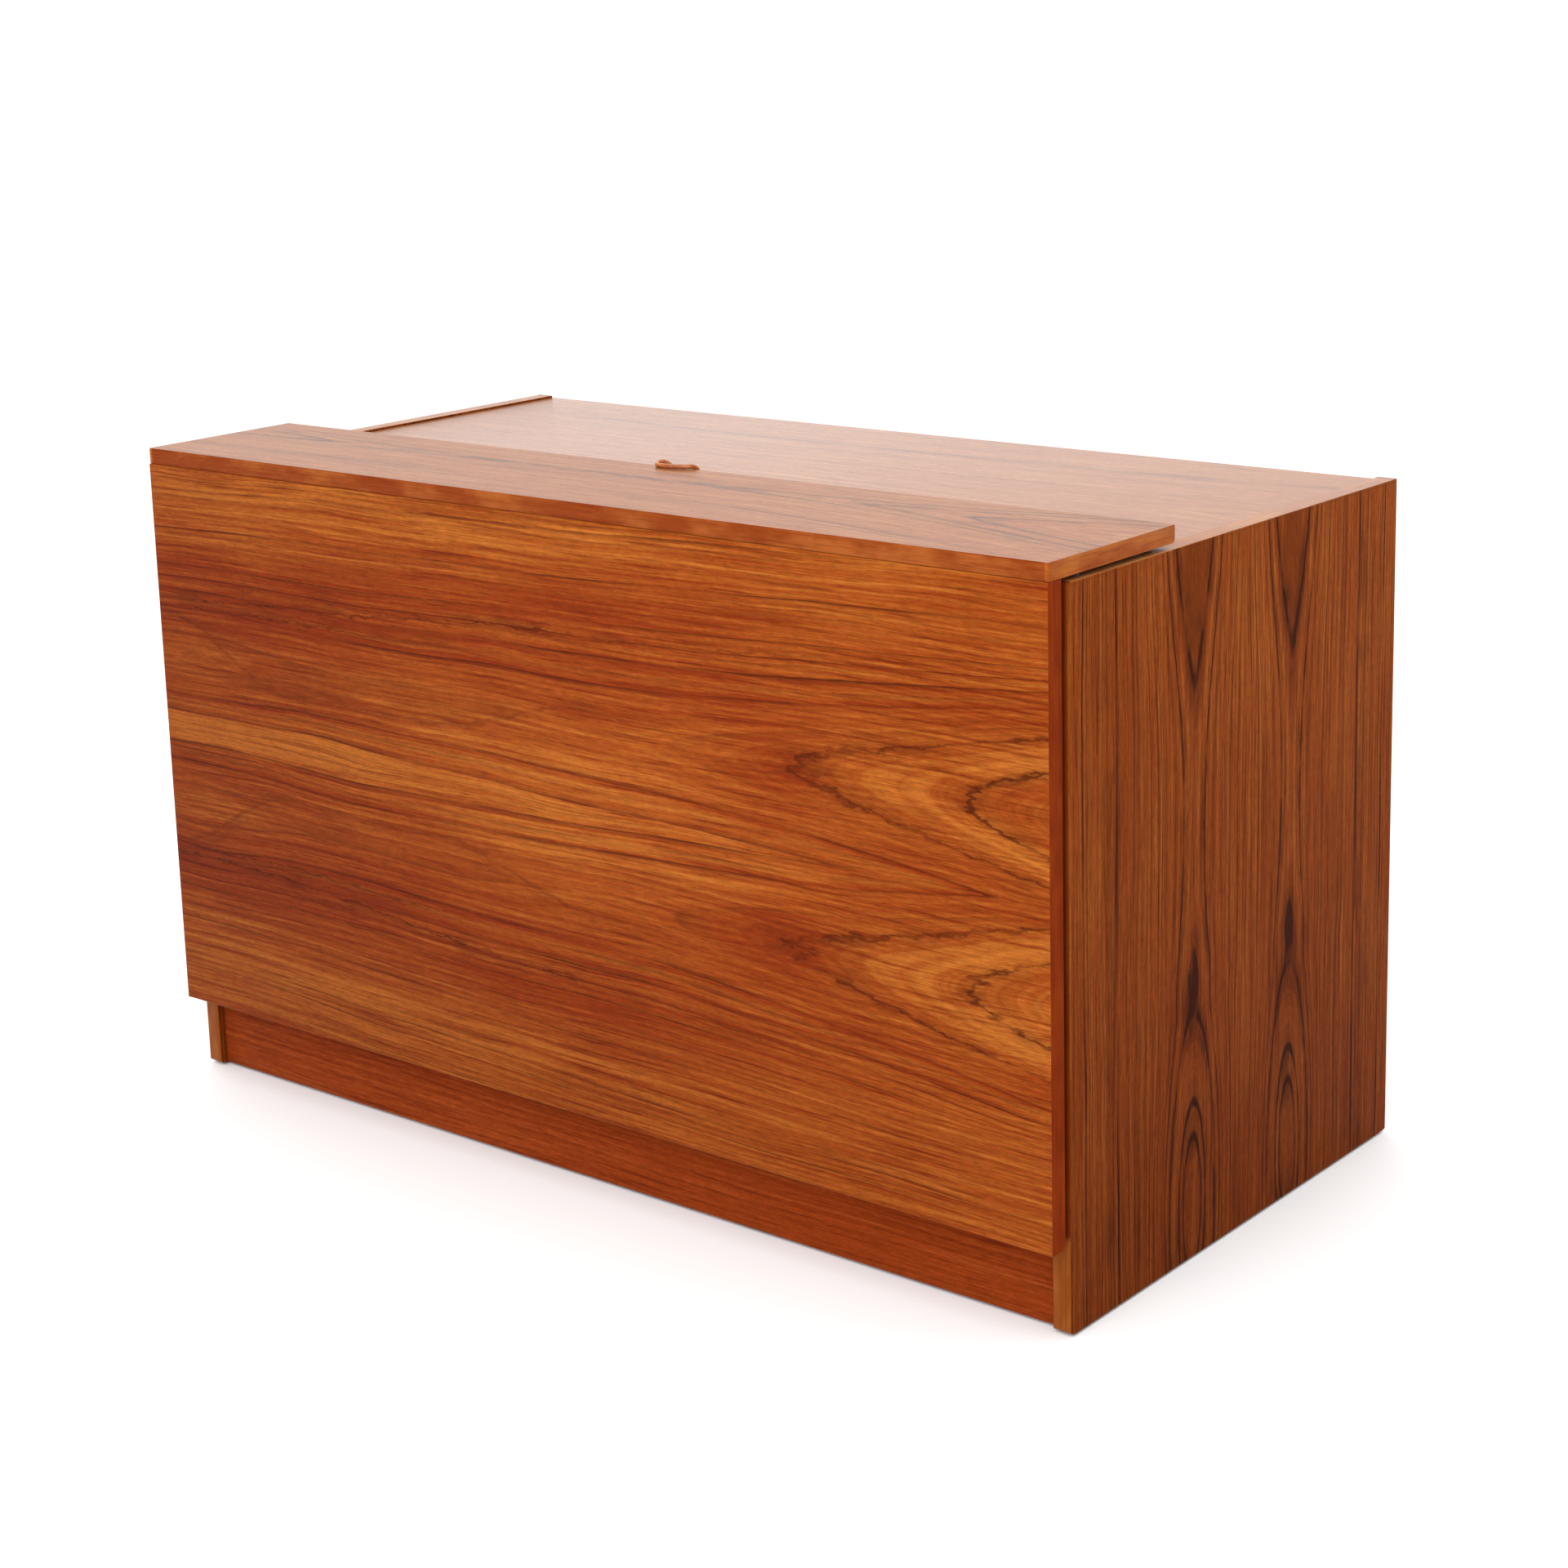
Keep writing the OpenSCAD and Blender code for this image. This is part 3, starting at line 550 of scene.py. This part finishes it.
def flap_veneer():
    """Flames that come in from both ends, the longer one from the right."""
    return veneer(
        "flap_veneer", (X, 1), (Y, -1), (FLAP_LOW.x, FLAP_REAR), TEAK_TOP, 17.0, heart=(66, 9),
        hills=((1380, 66, 330, 400, -110), (-60, 66, 250, 60, -25)), ring=10.0,
        accents=((8, 0.75, 1.8), (-4, 0.9, 1.8), (-24, 0.9, 1.8)), lines=1.3, wander=0.4, rough=0.42,
        shine=0.35)


def top_veneer():
    """Quiet grain with the table's smoothest varnish."""
    return veneer(
        "top_veneer", (X, 1), (Y, -1), (TOP_LOW.x, TOP_HIGH.y), TEAK_TOP, 23.0, heart=(240, 20),
        hills=((1500, 240, 500, 400, -70), (-300, 240, 400, 400, -50)), ring=12.0, wander=0.6,
        rough=0.3, shine=0.5)


def plinth_veneer():
    """Nearly straight grain with weak rings."""
    return veneer("plinth_veneer", (X, 1), (Z, -1), (0.0, 0.0), TEAK_PLINTH, 29.0, lines=0.5,
                  wander=0.4, shine=MATT)


def back_veneer():
    """Bookmatched, with flames that come in from both ends."""
    return veneer(
        "back_veneer", (X, 1), (Z, -1), (-600.0, 700.0), TEAK_SIDE, 37.0, mirror=300.0,
        heart=(120, 15), hills=((1300, 120, 400, 400, -80), (-100, 120, 300, 80, -50)), ring=12.0,
        lines=0.7, wander=0.6)


def inside_lengthwise():
    """The flat boards inside, with their grain from left to right."""
    return veneer(
        "inside_lengthwise", (X, 1), (Y, 1), (-600.0, -300.0), TEAK, 41.0, heart=(260, 20),
        hills=((900, 260, 500, 400, -60),), ring=12.0, lines=0.6, rough=0.5, wander=0.6)


def inside_front():
    """The front's inner face."""
    return veneer(
        "inside_front", (X, 1), (Z, -1), (-600.0, 714.0), TEAK, 53.0, mirror=330.0, heart=(120, 15),
        hills=((-150, 120, 420, 90, -70), (1400, 120, 400, 90, -60)), ring=11.0,
        accents=((10, 0.6, 1.4), (-14, 0.6, 1.4)), lines=0.7, rough=0.5, wander=0.5)


def inside_upright():
    """The partitions, with upright grain."""
    return veneer(
        "inside_upright", (Z, 1), (Y, 1), (0.0, -300.0), TEAK, 47.0, heart=(280, 20),
        hills=((700, 280, 300, 400, -70),), ring=12.0, lines=0.6, rough=0.5, wander=0.6)


MATERIALS = {
    "front": front_veneer(),
    "side": side_veneer(),
    "flap": flap_veneer(),
    "top": top_veneer(),
    "plinth": plinth_veneer(),
    "back": back_veneer(),
    "inside_x": inside_lengthwise(),
    "inside_front": inside_front(),
    "inside_z": inside_upright(),
    "lipping_x": solid_wood("lipping_lengthwise", X, TEAK, 2.0, depth=0.5, shine=0.06),
    "flap_lipping_x": solid_wood("flap_lipping_lengthwise", X, TEAK_FLAP_EDGE, 3.0, depth=0.5, shine=0.05),
    "lipping_y": solid_wood("lipping_crosswise", Y, TEAK, 5.0, depth=0.45, shine=0.06),
    "fittings": solid_wood("fittings_wood", X, TEAK_FITTINGS, 31.0, rough=0.5, depth=0.35),
    "top_lipping_y": solid_wood("top_lipping_crosswise", Y, TEAK_TOP, 6.0, rough=0.4, shine=0.3),
    # the sides' front lippings get painted shade above the front panel's lower edge, where they stand in
    # its shadow
    "lipping_z": solid_wood("lipping_upright", Z, TEAK_LIPPING, 8.0, painted_shade_above=FRONT_LOW.z),
    "rear_lipping_z": solid_wood("rear_lipping_upright", Z, TEAK_LIPPING, 8.0),
    "end_lipping_z": solid_wood("end_lipping_upright", Z, TEAK_END, 13.0, shine=MATT),
    "beech": solid_wood("beech", Y, BEECH, 19.0, rough=0.55, depth=0.1),
    "brass": metal("brass_upright", srgb("c9a45c"), srgb("8d6a34"), Z, 0.36),
    "steel": metal("zinc_steel", srgb("b8babd"), srgb("85878a"), Z, 0.4),
    "leather": leather("leather_cord"),
    "felt": felt("felt", srgb("5a4a40"), srgb("2e241e")),
    "plastic": plastic("dark_plastic", srgb("26221f"), srgb("3d3733")),
}


# ---------------------------------------------------------------- boards

# widths of sanded edges
EDGE_WIDTH = 0.7 * MM
FLAP_EDGE = 0.5 * MM
TOP_EDGE = 0.4 * MM
SIDE_FRONT_EDGE = 2.5 * MM
HAIRLINE = 0.01 * MM
EDGE_SEGMENTS = 3
ON_PLANE = 0.05 * MM
SAME_POINT = 0.002 * MM
SAME_PLANE = math.radians(0.5)
SMOOTH_BELOW = math.radians(32)
# a face looks in a direction if its normal goes at least this far that way
FACING = 0.8


def body_of(node):
    """The CAD body that a node belongs to."""
    bodies = frame["record"]["behaviour"]["bodies"]
    return next(body for body, nodes in bodies.items() if node in nodes)


def outer_edges(mesh, low, high, wanted):
    """The edges that lie where two faces of the box meet, and whose ends are both wanted."""
    found = []
    for edge in mesh.edges:
        a, b = (vertex.co for vertex in edge.verts)
        planes = 0
        for i in (X, Y, Z):
            for limit in (low[i], high[i]):
                if abs(a[i] - limit) < ON_PLANE and abs(b[i] - limit) < ON_PLANE:
                    planes += 1
        if planes >= 2 and wanted(a) and wanted(b):
            found.append(edge)
    return found


def group_box(nodes):
    """The box round several nodes at rest."""
    boxes = [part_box(node) for node in nodes]
    low = Vector(min(b[0][i] for b in boxes) for i in (X, Y, Z))
    high = Vector(max(b[1][i] for b in boxes) for i in (X, Y, Z))
    return low, high


def finish_mesh(mesh, name, node, materials):
    """Makes a piece from a bmesh in place of a node: smooth but for its real edges, and riding on the
    node's body."""
    data = bpy.data.meshes.new(name)
    mesh.to_mesh(data)
    mesh.free()
    for material in materials:
        data.materials.append(material)
    data.shade_smooth()
    data.set_sharp_from_angle(angle=SMOOTH_BELOW)
    piece = bpy.data.objects.new(name, data)
    bpy.context.scene.collection.objects.link(piece)
    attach(piece, body_of(node))
    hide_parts(node)


def anywhere(point):
    """Every point is wanted."""
    return True


def soften(nodes, looks_of, width=EDGE_WIDTH, wanted=anywhere):
    """Replaces the boards of one panel by copies whose outer edges, where wanted, are sanded round. The
    joints between them stay tight. looks_of maps a node to its materials: the first for every face, and
    then pairs of a direction and the material of the faces that look that way."""
    low, high = group_box(nodes)
    for node in nodes:
        mesh = bmesh.new()
        mesh.from_mesh(frame["nodes"][node].data)
        bmesh.ops.remove_doubles(mesh, verts=mesh.verts, dist=SAME_POINT)
        bmesh.ops.dissolve_limit(mesh, angle_limit=SAME_PLANE, verts=mesh.verts, edges=mesh.edges)
        edges = outer_edges(mesh, low, high, wanted)
        if edges:
            bmesh.ops.bevel(mesh, geom=edges, offset=width, segments=EDGE_SEGMENTS, profile=0.5,
                            affect="EDGES", clamp_overlap=True)
        first, *others = looks_of(node)
        mesh.normal_update()
        for face in mesh.faces:
            face.material_index = 0
            for i, (direction, _) in enumerate(others):
                if face.normal.dot(Vector(direction)) > FACING:
                    face.material_index = i + 1
        materials = [MATERIALS[first], *(MATERIALS[look] for _, look in others)]
        finish_mesh(mesh, node + "_board", node, materials)


def all_of(look):
    """One material for every node of a panel."""
    return lambda node: (look,)


def front_looks(node):
    """The front's veneer covers its lippings on both faces; their edges show solid wood."""
    face = ((0, -1, 0), "front")
    inner = ((0, 1, 0), "inside_front")
    core = {"front_panel": "front", "front_lipping_left": "end_lipping_z",
            "front_lipping_right": "end_lipping_z"}
    return (core.get(node, "lipping_x"), face, inner)


def flap_looks(node):
    """The flap is veneered above and below, and its edges are solid."""
    faces = (((0, 0, 1), "flap"), ((0, 0, -1), "flap"))
    core = {"flap_board": "flap", "flap_lipping_left": "lipping_y", "flap_lipping_right": "lipping_y"}
    return (core.get(node, "flap_lipping_x"), *faces)


def side_looks(node):
    """The side panels' veneer runs over the lippings' flat faces."""
    if node.startswith("side_panel"):
        return ("side",)
    solid = {"side_top_lippings": "top_lipping_y", "side_rear_lippings": "rear_lipping_z"}
    return (solid.get(node, "lipping_z"), ((-1, 0, 0), "side"), ((1, 0, 0), "side"))


def top_looks(node):
    """The top's veneer runs over its lippings."""
    return ("top",) if node == "main_top" else ("lipping_x", ((0, 0, 1), "top"))


def at_side_front(point):
    """Whether a point lies in the sides' front faces."""
    return abs(point.y - SIDE_FRONT * MM) < ON_PLANE


# boards of one material: the material, the width of their sanded edges, and their nodes
PLAIN_BOARDS = (
    ("plinth", 0.4 * MM, ["kick_board"]),
    ("plinth", 0.4 * MM, ["rear_plinth"]),
    ("inside_x", 0.5 * MM, ["machine_shelf", "machine_shelf_lipping"]),
    ("fittings", 0.5 * MM, ["notions_tray"]),
    ("fittings", 0.8 * MM, ["thread_rack"]),
    ("inside_x", 0.5 * MM, ["side_shelf_left"]),
    ("inside_x", 0.5 * MM, ["side_shelf_right"]),
    ("top", 0.2 * MM, ["well_board_left"]),
    ("top", 0.2 * MM, ["well_board_right"]),
    ("inside_x", 0.4 * MM, ["bottom_panel"]),
    ("back", 0.4 * MM, ["back_panel"]),
    ("inside_z", 0.4 * MM, ["partition_left"]),
    ("inside_z", 0.4 * MM, ["partition_right"]),
)

soften(["front_panel", "front_lipping_left", "front_lipping_right", "front_lipping_top",
        "front_lipping_bottom"], front_looks)
soften(["flap_board", "flap_lipping_front", "flap_lipping_rear", "flap_lipping_left",
        "flap_lipping_right"], flap_looks, FLAP_EDGE)
for hand in ("left", "right"):
    soften(["side_panel_" + hand, "side_front_lipping_" + hand], side_looks, SIDE_FRONT_EDGE,
           at_side_front)
soften(["side_rear_lippings"], side_looks, HAIRLINE)
soften(["side_top_lippings"], side_looks)
soften(["main_top", "main_top_front_lipping", "main_top_rear_lipping"], top_looks, TOP_EDGE)
for look, width, nodes in PLAIN_BOARDS:
    soften(nodes, all_of(look), width)


# ---------------------------------------------------------------- leather pull

# the cord's route in millimetres: x, the distance behind the flap's rear edge, and z
LOOP_TURNS = ((-12, -4.8, 722.5), (-12, 0, 722.5), (-12.5, 5.5, 724.9), (-15, 6, 730.9), (-20, 2, 735.2),
              (-23.5, -4.5, 734.9), (-19, -10.5, 734.2), (-8, -11.5, 734.1), (4, -9.5, 734.1),
              (14, -5.5, 734.1), (20.5, 0, 734), (22, 5, 730.4), (18, 5.8, 725.4), (12.5, 3.5, 722.8),
              (12, 0, 722.5), (12, -4.8, 722.5))
LOOP_RADIUS = 2.45
LOOP_STEPS = 8
LOOP_SIDES = 18


def curve_through(points, steps):
    """Points on a smooth curve through the given points."""
    ends = [points[0], *points, points[-1]]
    found = []
    for a, b, c, d in zip(ends, ends[1:], ends[2:], ends[3:]):
        for i in range(steps):
            t = i / steps
            found.append(0.5 * (2 * b + (c - a) * t + (2 * a - 5 * b + 4 * c - d) * t ** 2
                                + (3 * b - a - 3 * c + d) * t ** 3))
    return [*found, points[-1]]


def add_loop():
    """The leather cord with a round section, in place of the many-sided CAD loop."""
    turns = [Vector((x, FLAP_REAR + y, z)) * MM for x, y, z in LOOP_TURNS]
    line = curve_through(turns, LOOP_STEPS)
    last = len(line) - 1
    mesh = bmesh.new()
    rings = []
    normal = Vector((0, 0, 1))
    for i, at in enumerate(line):
        ahead = (line[min(i + 1, last)] - line[max(i - 1, 0)]).normalized()
        normal = (normal - normal.dot(ahead) * ahead).normalized()
        other = ahead.cross(normal)
        ring = []
        for k in range(LOOP_SIDES):
            turn = 2 * math.pi * k / LOOP_SIDES
            out = math.cos(turn) * normal + math.sin(turn) * other
            ring.append(mesh.verts.new(at + out * LOOP_RADIUS * MM))
        rings.append(ring)
    for low, high in zip(rings, rings[1:]):
        for k in range(LOOP_SIDES):
            mesh.faces.new((low[k - 1], low[k], high[k], high[k - 1]))
    mesh.faces.new(rings[0])
    mesh.faces.new(rings[-1][::-1])
    bmesh.ops.recalc_face_normals(mesh, faces=mesh.faces)
    finish_mesh(mesh, "leather_cord", "leather_loop", [MATERIALS["leather"]])


add_loop()


# ---------------------------------------------------------------- pieces that keep their CAD shape

KEPT = {
    "brass": ["back_screws", "shelf_pins", "cleat_screws", "hinge_leaf_side", "hinge_screws_side",
              "hinge_leaf_front", "hinge_screws_front", "flap_hinge_lower", "flap_hinge_upper",
              "lift_arm_screws"],
    "steel": ["lift_rail_left", "lift_rail_right", "hinge_pin", "catch_strike", "lift_arm_left",
              "lift_arm_right"],
    "beech": ["top_cleats", "lift_stops"],
    "plastic": ["door_catch", "floor_glides"],
    "felt": ["door_bumpers", "flap_pads"],
    "lipping_x": ["well_board_lippings"],
    "lipping_y": ["thread_pegs"],
}
for look, nodes in KEPT.items():
    for node in nodes:
        materials = frame["nodes"][node].data.materials
        materials.clear()
        materials.append(MATERIALS[look])


# ---------------------------------------------------------------- room and light

FLOOR_HALF = 40.0
FLOOR_COLOR = (0.96, 0.96, 0.96, 1.0)
ROOM_STRENGTH = 0.62
REAR_LEFT = Vector((-0.62, 0.76, 0.18)).normalized()
REAR_GLOW = 1.1
OVERHEAD_GLOW = 0.45
SOFTBOX_AT = Vector((1.3, -3.4, 2.7))
SOFTBOX_AIM = Vector((0.1, -0.3, 0.4))
SOFTBOX_SIZE = 3.4
SOFTBOX_POWER = 140.0


def add_floor():
    """A large plain pale floor."""
    data = bpy.data.meshes.new("floor")
    corners = [(x * FLOOR_HALF, y * FLOOR_HALF, 0) for x, y in ((-1, -1), (1, -1), (1, 1), (-1, 1))]
    data.from_pydata(corners, [], [(0, 1, 2, 3)])
    floor = bpy.data.objects.new("floor", data)
    bpy.context.scene.collection.objects.link(floor)
    g = Graph.material("pale_floor")
    data.materials.append(g.finish(FLOOR_COLOR, 0.9, Specular_IOR_Level=0.0))


def add_room():
    """A white room that is brightest at the rear left and overhead."""
    g = Graph(bpy.data.worlds.new("white_room"), "Background")
    bpy.context.scene.world = g.owner
    direction = g.tree.nodes.new("ShaderNodeTexCoord").outputs["Generated"]
    parts = g.tree.nodes.new("ShaderNodeSeparateXYZ")
    g.put(parts.inputs[0], direction)
    towards = [g.mul(part, weight) for part, weight in zip(parts.outputs, REAR_LEFT)]
    rear = g.add(g.add(towards[X], towards[Y]), towards[Z])
    glow = g.add(g.step(rear, 0.1, 0.95, 0.0, REAR_GLOW),
                 g.step(parts.outputs[Z], 0.1, 1.0, 0.0, OVERHEAD_GLOW))
    g.put(g.shader.inputs["Color"], WHITE)
    g.put(g.shader.inputs["Strength"], g.add(glow, ROOM_STRENGTH))


def add_softbox():
    """One big square softbox that is high in front, to the right of the middle."""
    data = bpy.data.lights.new("front_softbox", "AREA")
    data.size = SOFTBOX_SIZE
    data.energy = SOFTBOX_POWER
    light = bpy.data.objects.new("front_softbox", data)
    bpy.context.scene.collection.objects.link(light)
    light.location = SOFTBOX_AT
    light.rotation_euler = (SOFTBOX_AIM - SOFTBOX_AT).to_track_quat("-Z", "Y").to_euler()


add_floor()
add_room()
add_softbox()
bpy.context.scene.view_settings.view_transform = "Standard"
